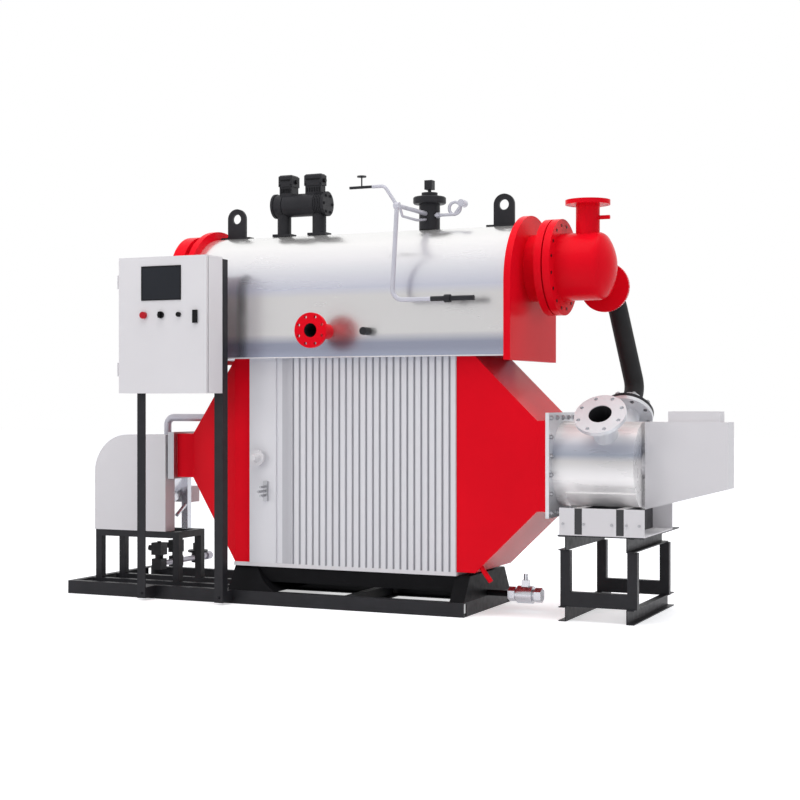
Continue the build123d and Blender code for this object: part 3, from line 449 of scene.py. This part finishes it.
def paint_nodes():
    """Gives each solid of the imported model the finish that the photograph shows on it."""
    own = {
        "ribbed_walls": "panel",
        "plain_panels": "panel",
        "drum_casing": "casing",
        "condenser_shell": "condenser",
        "cradle_posts": "cradle",
        # Black with painted shade for the plates under the furnace
        "saddles": "black_with_painted_shade",
        "belly_plate": "black_with_painted_shade",
        "gauge_tube": "tube",
        "air_pipe": "tube",
        "gas_pipe": "tube",
        "fan_outlet_flange": "zinc",
        "condenser_nozzles": "flange",
        "condenser_flange": "flange",
    }
    for part in frame["record"]["subparts"]:
        node = part["node"]
        material = finishes[own.get(node, part["material_slot"])]
        mesh = frame["nodes"][node].data
        mesh.materials.clear()
        mesh.materials.append(material)


def standing_between(start, end):
    """Placement that turns a shape's own Z axis to run from start to end, about their middle."""
    turn = (end - start).to_track_quat("Z", "Y").to_matrix().to_4x4()
    return Matrix.Translation((start + end) / 2) @ turn


def prism(bm, start, end, radius, sides, end_radius=None):
    """Round or many-sided bar from start to end, or a cone when the end's radius differs."""
    start, end = Vector(start), Vector(end)
    last = radius if end_radius is None else end_radius
    bmesh.ops.create_cone(bm, cap_ends=True, segments=sides, radius1=radius, radius2=last,
                          depth=(end - start).length, matrix=standing_between(start, end))


def block(bm, low, high):
    low, high = Vector(low), Vector(high)
    size = high - low
    place = Matrix.Translation((low + high) / 2) @ Matrix.Diagonal((*size, 1.0))
    bmesh.ops.create_cube(bm, size=1.0, matrix=place)


def edge_bars(bm, low, high, width):
    """Four bars along the edges of an upright rectangle that faces the front."""
    (left, front, bottom), (right, back, top) = low, high
    block(bm, (left, front, bottom), (left + width, back, top))
    block(bm, (right - width, front, bottom), (right, back, top))
    block(bm, (left + width, front, bottom), (right - width, back, bottom + width))
    block(bm, (left + width, front, top - width), (right - width, back, top))


def tube_wall(bm, start, end, radius, sides):
    """Inner surface of a bore, open at its end and closed at its start."""
    made = bmesh.ops.create_cone(bm, cap_ends=False, segments=sides, radius1=radius, radius2=radius,
                                 depth=(end - start).length, matrix=standing_between(start, end))
    nearest = min((v.co - start).length for v in made["verts"])
    rim = [v for v in made["verts"] if (v.co - start).length < nearest + 0.001]
    bmesh.ops.contextual_create(bm, geom=rim)


def piece(name, bm, finish, body="root", smooth=True):
    """Makes a mesh object of the shapes in bm and lets it ride on its body."""
    mesh = bpy.data.meshes.new(name)
    bm.to_mesh(mesh)
    bm.free()
    mesh.materials.append(finishes[finish])
    if smooth:
        mesh.shade_smooth()
        mesh.set_sharp_from_angle(angle=math.radians(SHARP_ANGLE))
    obj = bpy.data.objects.new(name, mesh)
    bpy.context.scene.collection.objects.link(obj)
    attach(obj, body)


def bolt(bm, place, axis, flats, height):
    """Hexagon nut standing on place, with the end of its stud."""
    axis = Vector(axis).normalized()
    stud_height, stud_radius = height * 1.45, flats * 0.3
    prism(bm, place, place + axis * height, flats / math.sqrt(3), sides=6)
    prism(bm, place, place + axis * stud_height, stud_radius, sides=12)


def ring_places(centre, axis, up, radius, count):
    """Points on a circle round centre, with a gap and not a point straight up."""
    side = Vector(up).normalized()
    other = axis.cross(side)
    for i in range(count):
        angle = math.pi * (2 * i + 1) / count
        yield Vector(centre) + (side * math.cos(angle) + other * math.sin(angle)) * radius


def bolt_ring(bm, centre, axis, up, radius, count, flats, height):
    axis = Vector(axis).normalized()
    for place in ring_places(centre, axis, up, radius, count):
        bolt(bm, place, axis, flats, height)


def stud_ring(bm, centre, axis, up, radius, count, stud):
    """Ends of studs that stand a quarter of their radius out of a flange."""
    axis = Vector(axis).normalized()
    for place in ring_places(centre, axis, up, radius, count):
        prism(bm, place, place + axis * (stud * 0.25), stud, sides=20)


def add_header_bolts():
    """Black stud ends almost flush in the header's flanges, which also stand for painted shade in their bolt
    holes, and the nuts of the manhole cover.
    """
    low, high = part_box("header_neck")
    middle = (low + high) / 2
    left_face = high.x - HEADER_FLANGE
    right_face = high.x + HEADER_GAP + HEADER_FLANGE
    bm = bmesh.new()
    # Black stud ends, which also stand for the painted shade in the bolt holes
    for x, axis in ((left_face, LEFTWARD), (right_face, RIGHTWARD)):
        stud_ring(bm, (x, middle.y, middle.z), axis, UPWARD, HEADER_BOLT_CIRCLE, HEADER_BOLTS, HEADER_STUD)
    piece("header_studs_and_hole_shade", bm, "black_plastic")
    cover_low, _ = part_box("manhole_cover")
    neck_low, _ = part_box("manhole_neck")
    sunk = 0.002
    neck_face = neck_low.x + HEADER_FLANGE - sunk
    bm = bmesh.new()
    for x, axis in ((cover_low.x, LEFTWARD), (neck_face, RIGHTWARD)):
        bolt_ring(bm, (x, middle.y, middle.z), axis, UPWARD, HEADER_BOLT_CIRCLE, HEADER_BOLTS,
                  flats=HEADER_NUT, height=HEADER_NUT * 0.5)
    piece("manhole_bolts", bm, "red_paint", smooth=False)


def nozzle_line(side):
    """Where the condenser's nozzles meet in its shell, and the way in which the one on a side leans."""
    shell_low, shell_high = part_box("condenser_shell")
    nozzle_low, nozzle_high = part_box("condenser_nozzles")
    axis = (shell_low + shell_high) / 2
    centre = Vector(((nozzle_low.x + nozzle_high.x) / 2, axis.y, axis.z))
    tilt = math.radians(NOZZLE_TILT)
    return centre, Vector((0, side[1] * math.sin(tilt), math.cos(tilt)))


def add_downpipe_flanges():
    """Loose flanges with bolts at both ends of the insulated pipe, and the reducer at its foot."""
    reducer_reach, reducer_radius, over_sleeve = 0.11, 0.085, 0.003
    low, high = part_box("insulated_downpipe")
    top = Vector((low.x + DOWNPIPE_RADIUS, low.y, high.z - DOWNPIPE_RADIUS))
    top_face = top + Vector(BACKWARD) * MATING_FLANGE
    centre, lean = nozzle_line(BACKWARD)
    foot = centre + lean * NOZZLE_REACH
    foot_face = foot + lean * MATING_FLANGE
    bm = bmesh.new()
    prism(bm, top, top_face, BRANCH_FLANGE, sides=64)
    prism(bm, foot_face, foot + lean * reducer_reach, reducer_radius, sides=48,
          end_radius=DOWNPIPE_RADIUS + over_sleeve)
    piece("pipe_flanges", bm, "flange")
    bm = bmesh.new()
    prism(bm, foot, foot_face, BRANCH_FLANGE, sides=64)
    piece("foot_flange", bm, "black_steel")
    bm = bmesh.new()
    for face, axis, up in ((top_face, BACKWARD, UPWARD), (foot_face, lean, RIGHTWARD)):
        bolt_ring(bm, face, axis, up, BRANCH_BOLT_CIRCLE, BRANCH_BOLTS, BRANCH_NUT, height=BRANCH_NUT * 0.7)
    piece("pipe_bolts", bm, "zinc", smooth=False)


def add_bores():
    """Dark linings in the open nozzles of the condenser and the drum: oxide in the bores, and painted shade
    deep in them.
    """
    clearance, rim = 0.0005, 0.004
    nozzle_bottom, drum_depth = 0.26, 0.03
    centre, lean = nozzle_line(FORWARD)
    # Dark lining with a closed bottom: oxide, and painted shade deep in the bore
    bm = bmesh.new()
    tube_wall(bm, centre + lean * nozzle_bottom, centre + lean * (NOZZLE_REACH - rim),
              NOZZLE_BORE - clearance, sides=48)
    piece("nozzle_lining", bm, "bore")
    low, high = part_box("drum_front_nozzle")
    x, z = (low.x + high.x) / 2, (low.z + high.z) / 2
    bm = bmesh.new()
    tube_wall(bm, Vector((x, high.y - drum_depth, z)), Vector((x, low.y + rim, z)),
              DRUM_BORE - clearance, sides=40)
    piece("drum_lining", bm, "bore")


def add_condenser_bolts():
    """Bolts along the four edges of the square flange and on the cradle's panels."""
    low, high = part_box("condenser_flange")
    middle = (low + high) / 2
    inset, on_an_edge, flats, thickness = 0.028, 5, 0.022, 0.012
    half = (high.z - low.z) / 2 - inset
    bm = bmesh.new()
    for i in range(on_an_edge):
        along = -half + 2 * half * i / on_an_edge
        for y, z in ((along, -half), (half, along), (-along, half), (-half, -along)):
            bolt(bm, Vector((high.x, middle.y + y, middle.z + z)), RIGHTWARD, flats, thickness)
    low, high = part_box("condenser_cradle")
    height_share, length_shares = 0.42, (0.045, 0.29, 0.62, 0.79, 0.94)
    z = low.z + height_share * (high.z - low.z)
    for share in length_shares:
        x = low.x + share * (high.x - low.x)
        bolt(bm, Vector((x, low.y, z)), FORWARD, SMALL_BOLT, height=0.006)
        bolt(bm, Vector((x, high.y, z)), BACKWARD, SMALL_BOLT, height=0.006)
    piece("condenser_bolts", bm, "zinc", smooth=False)


def add_box_details(bm, left, right, front, middle, top):
    """Vent slots, a strip, two screws and a side knob on one control box."""
    slots, slot_inset, slot_half = 6, 0.018, 0.003
    slot_bottom, slot_top = top - 0.108, top - 0.082
    slot_front, slot_back = front + 0.002, front + 0.0065
    strip_inset, strip_bottom, strip_top = 0.015, top - 0.036, top - 0.028
    screw_inset, screw_height, screw_radius = 0.010, top - 0.060, 0.004
    knob_height, knob_reach, knob_radius = top - 0.040, 0.012, 0.013
    proud, sunk = front - 0.003, front + 0.001
    for i in range(slots):
        x = left + slot_inset + (right - left - 2 * slot_inset) * i / (slots - 1)
        block(bm, (x - slot_half, slot_front, slot_bottom), (x + slot_half, slot_back, slot_top))
    block(bm, (left + strip_inset, proud, strip_bottom), (right - strip_inset, sunk, strip_top))
    for x in (left + screw_inset, right - screw_inset):
        prism(bm, (x, proud, screw_height), (x, sunk, screw_height), screw_radius, sides=12)
    prism(bm, (right, middle, knob_height), (right + knob_reach, middle, knob_height), knob_radius, sides=20)


def add_control_details():
    """Details of the two control boxes, and the bolts and fins of the bridge that carries them."""
    low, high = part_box("control_heads")
    bridge_low, bridge_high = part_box("control_head_bridge")
    y = (bridge_low.y + bridge_high.y) / 2
    z = bridge_high.z - BRIDGE_RADIUS - BRIDGE_LIP
    left_width, left_half_depth = 0.093, 0.0485
    right_width, right_half_depth = 0.118, 0.033
    bm = bmesh.new()
    add_box_details(bm, low.x, low.x + left_width, y - left_half_depth, y, high.z)
    add_box_details(bm, high.x - right_width, high.x, y - right_half_depth, y, high.z)
    piece("control_vents", bm, "black_plastic", smooth=False)
    bm = bmesh.new()
    for x, axis in ((bridge_low.x, LEFTWARD), (bridge_high.x, RIGHTWARD)):
        bolt_ring(bm, (x, y, z), axis, UPWARD, radius=0.055, count=6, flats=0.016, height=0.006)
    fins, fin_start, fin_step, fin_width, fin_height = 5, 0.03, 0.011, 0.004, 0.004
    for i in range(fins):
        x = bridge_high.x - fin_start - fin_step * i
        prism(bm, (x, y, z), (x + fin_width, y, z), BRIDGE_RADIUS + fin_height, sides=48)
    piece("bridge_fins", bm, "black_steel")


def swept_tube(path, radius):
    """Mesh data of a round tube along straight runs between the points of the path."""
    curve = bpy.data.curves.new("tube_path", "CURVE")
    curve.dimensions = "3D"
    line = curve.splines.new("POLY")
    line.points.add(len(path) - 1)
    for point, place in zip(line.points, path):
        point.co = (*place, 1.0)
    curve.bevel_depth = radius
    curve.bevel_resolution = 4
    curve.use_fill_caps = True
    carrier = bpy.data.objects.new("tube_path", curve)
    mesh = bpy.data.meshes.new_from_object(carrier)
    bpy.data.objects.remove(carrier)
    return mesh


def add_pigtail():
    """Loop of tube and its stub, which join the small gauge to the main valve."""
    low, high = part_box("main_valve")
    body = (low + high) / 2
    y = body.y - VALVE_BODY_RADIUS / 2
    stub_height = low.z + PIGTAIL_RISE - PIGTAIL_RADIUS
    loop_x, loop_z = body.x + VALVE_BODY_RADIUS + 3 * PIGTAIL_RADIUS, low.z + PIGTAIL_RISE
    steps, shift = 24, 0.010
    path = [(body.x + VALVE_BODY_RADIUS / 2, y, stub_height), (loop_x, y, stub_height)]
    for i in range(1, steps + 1):
        angle = math.radians(360 * i / steps - 90)
        path.append((loop_x + PIGTAIL_RADIUS * math.cos(angle), y + shift * i / steps,
                     loop_z + PIGTAIL_RADIUS * math.sin(angle)))
    bm = bmesh.new()
    bm.from_mesh(swept_tube(path, PIGTAIL_TUBE))
    dial_x, dial_z = loop_x + 1.4 * PIGTAIL_RADIUS, loop_z + 0.7 * PIGTAIL_RADIUS
    dial_front, dial_back = y - 0.032, y - 0.030
    prism(bm, (dial_x, dial_front, dial_z), (dial_x, dial_back, dial_z), radius=0.019, sides=32)
    nut_start, nut_end = body.x + VALVE_BODY_RADIUS - 0.004, body.x + VALVE_BODY_RADIUS + 0.016
    prism(bm, (nut_start, y, stub_height), (nut_end, y, stub_height), radius=0.017, sides=6)
    piece("pigtail", bm, "tube")


def add_casing_lip():
    """Pale folded edge along the casing's bottom, in front and behind."""
    low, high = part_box("drum_casing")
    depth, height = 0.012, 0.007
    bm = bmesh.new()
    block(bm, (low.x, low.y - depth, low.z), (high.x, low.y, low.z + height))
    block(bm, (low.x, high.y, low.z), (high.x, high.y + depth, low.z + height))
    piece("casing_lip", bm, "light_panel", smooth=False)


def add_sight_plate():
    """Small plate with three terminals on the furnace's plain front panel, below the sight port."""
    right_of_port, below_port = 0.041, 0.196
    half_width, half_height, thickness = 0.015, 0.058, 0.012
    port_low, port_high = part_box("sight_port")
    panel_low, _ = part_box("plain_panels")
    wall, front = panel_low.y, panel_low.y - thickness
    x = (port_low.x + port_high.x) / 2 + right_of_port
    z = (port_low.z + port_high.z) / 2 - below_port
    bm = bmesh.new()
    block(bm, (x - half_width, front, z - half_height), (x + half_width, wall, z + half_height))
    piece("terminal_plate", bm, "zinc", smooth=False)
    bm = bmesh.new()
    for rise, reach in ((-0.026, 0.06), (0.0, 0.09), (0.026, 0.06)):
        prism(bm, (x, front, z + rise), (x, front - reach, z + rise), radius=0.007, sides=16)
    piece("terminals", bm, "zinc")


def add_door_details():
    """Seal on the cabinet behind its door, and a dark rim round the screen."""
    inset, seal_width, clearance = 0.006, 0.012, 0.0005
    rim_width, rim_proud, rim_sunk = 0.006, 0.0015, 0.003
    low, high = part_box("cabinet_door")
    _, body_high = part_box("cabinet_body")
    door_back = low.y + DOOR_THICKNESS
    bm = bmesh.new()
    edge_bars(bm, (body_high.x - DOOR_WIDTH + inset, door_back + clearance, low.z + inset),
              (body_high.x - inset, door_back + DOOR_GAP, high.z - inset), seal_width)
    piece("door_seal", bm, "light_panel", smooth=False)
    low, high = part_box("touch_screen")
    bm = bmesh.new()
    edge_bars(bm, (low.x, low.y - rim_proud, low.z), (high.x, low.y + rim_sunk, high.z), rim_width)
    piece("screen_rim", bm, "black_plastic", body="door", smooth=False)


def add_fan_details():
    """Bolts on the fan's outlet flange and cooling fins round its motor."""
    low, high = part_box("fan_outlet_flange")
    rows, row_inset, side_inset = 4, 0.03, 0.02
    bm = bmesh.new()
    for i in range(rows):
        z = low.z + row_inset + (high.z - low.z - 2 * row_inset) * i / (rows - 1)
        for y in (low.y + side_inset, high.y - side_inset):
            bolt(bm, Vector((low.x, y, z)), LEFTWARD, SMALL_BOLT, height=0.008)
    piece("fan_bolts", bm, "zinc", smooth=False)
    low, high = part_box("fan_motor")
    fins, fin_start, fin_step, fin_width, fin_height = 7, 0.02, 0.018, 0.006, 0.006
    radius = (high.z - low.z) / 2
    x, z = low.x + radius, (low.z + high.z) / 2
    bm = bmesh.new()
    for i in range(fins):
        y = high.y - fin_start - fin_step * i
        prism(bm, (x, y, z), (x, y + fin_width, z), radius + fin_height, sides=48)
    piece("motor_fins", bm, "light_panel")


def add_bracket_bolts():
    """Bolts that hold the brackets of the cabinet's posts on the skid."""
    inset, height = 0.028, 0.03
    low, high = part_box("post_brackets")
    bm = bmesh.new()
    for x in (low.x + inset, high.x - inset):
        bolt(bm, Vector((x, low.y, low.z + height)), FORWARD, SMALL_BOLT, height=0.008)
    piece("bracket_bolts", bm, "black_steel", smooth=False)


def seen_directly(nodes, links):
    """One for rays from the camera and for those that metal or glass sends on, zero for the others."""
    path = nodes.new("ShaderNodeLightPath")
    total = path.outputs["Is Camera Ray"]
    for ray in ("Is Glossy Ray", "Is Transmission Ray"):
        join = nodes.new("ShaderNodeMath")
        join.operation = "MAXIMUM"
        links.new(total, join.inputs[0])
        links.new(path.outputs[ray], join.inputs[1])
        total = join.outputs[0]
    return total


def make_floor():
    """Floor that keeps the object's shadow and looks white to the camera."""
    mesh = bpy.data.meshes.new("floor")
    half = FLOOR_SIZE / 2
    corners = [(-half, -half, 0), (half, -half, 0), (half, half, 0), (-half, half, 0)]
    mesh.from_pydata(corners, [], [(0, 1, 2, 3)])
    floor = bpy.data.objects.new("floor", mesh)
    bpy.context.scene.collection.objects.link(floor)
    material = bpy.data.materials.new("floor_white")
    material.use_nodes = True
    nodes, links = material.node_tree.nodes, material.node_tree.links
    shader = nodes["Principled BSDF"]
    shader.inputs["Base Color"].default_value = (*FLOOR_COLOUR, 1.0)
    shader.inputs["Roughness"].default_value = 0.9
    shader.inputs["Specular IOR Level"].default_value = 0.0
    shader.inputs["Emission Color"].default_value = (*WHITE, 1.0)
    scale = nodes.new("ShaderNodeMath")
    scale.operation = "MULTIPLY"
    scale.inputs[1].default_value = FLOOR_GLOW
    links.new(seen_directly(nodes, links), scale.inputs[0])
    links.new(scale.outputs[0], shader.inputs["Emission Strength"])
    mesh.materials.append(material)


def make_world():
    """Pale studio: white to the camera and in reflections, a soft gradient as light."""
    world = bpy.data.worlds.new("studio")
    world.use_nodes = True
    bpy.context.scene.world = world
    nodes, links = world.node_tree.nodes, world.node_tree.links
    nodes.clear()
    place = nodes.new("ShaderNodeTexCoord")
    split = nodes.new("ShaderNodeSeparateXYZ")
    ramp = nodes.new("ShaderNodeValToRGB")
    stops = ramp.color_ramp.elements
    stops[0].position, stops[0].color = 0.0, (*SKY_LOW, 1.0)
    stops[1].position, stops[1].color = SKY_HIGH_PLACE, (*SKY_HIGH, 1.0)
    middle = stops.new(SKY_MIDDLE_PLACE)
    middle.color = (*SKY_MIDDLE, 1.0)
    links.new(place.outputs["Generated"], split.inputs["Vector"])
    links.new(split.outputs["Z"], ramp.inputs["Fac"])
    soft = nodes.new("ShaderNodeBackground")
    links.new(ramp.outputs["Color"], soft.inputs["Color"])
    soft.inputs["Strength"].default_value = SKY_STRENGTH
    white = nodes.new("ShaderNodeBackground")
    white.inputs["Color"].default_value = (*WHITE, 1.0)
    white.inputs["Strength"].default_value = 1.0
    mix = nodes.new("ShaderNodeMixShader")
    out = nodes.new("ShaderNodeOutputWorld")
    links.new(seen_directly(nodes, links), mix.inputs["Fac"])
    links.new(soft.outputs["Background"], mix.inputs[1])
    links.new(white.outputs["Background"], mix.inputs[2])
    links.new(mix.outputs["Shader"], out.inputs["Surface"])


def area_light(name, place, size, power):
    """Soft lamp that looks at the plant's middle. Metal doesn't reflect it, so no sheet burns out."""
    data = bpy.data.lights.new(name, "AREA")
    data.shape = "RECTANGLE"
    data.size, data.size_y = size
    data.energy = power
    data.color = LAMP_WHITE
    light = bpy.data.objects.new(name, data)
    light.location = place
    light.rotation_euler = (Vector(LAMP_TARGET) - Vector(place)).to_track_quat("-Z", "Y").to_euler()
    light.visible_glossy = False
    bpy.context.scene.collection.objects.link(light)


def make_lights():
    area_light("overhead", place=(0.5, -0.5, 5.5), size=(6.0, 3.5), power=190.0)
    area_light("front_left", place=(-4.5, -6.5, 3.4), size=(3.0, 3.0), power=120.0)
    area_light("right", place=(7.0, -2.0, 2.6), size=(2.5, 2.5), power=40.0)


def make_camera():
    corner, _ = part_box("skid_rails")
    data = bpy.data.cameras.new("camera")
    data.lens = CAMERA_LENS
    data.sensor_width = CAMERA_SENSOR
    camera = bpy.data.objects.new("camera", data)
    camera.location = (corner.x + CAMERA_RIGHT, corner.y - CAMERA_BACK, CAMERA_HEIGHT)
    camera.rotation_euler = (math.radians(90.0), 0.0, math.radians(CAMERA_TURN))
    bpy.context.scene.collection.objects.link(camera)
    bpy.context.scene.camera = camera


bpy.context.scene.view_settings.view_transform = "Standard"
finishes = make_finishes()
paint_nodes()
add_header_bolts()
add_downpipe_flanges()
add_bores()
add_condenser_bolts()
add_control_details()
add_pigtail()
add_casing_lip()
add_sight_plate()
add_door_details()
add_fan_details()
add_bracket_bolts()
make_floor()
make_world()
make_lights()
make_camera()
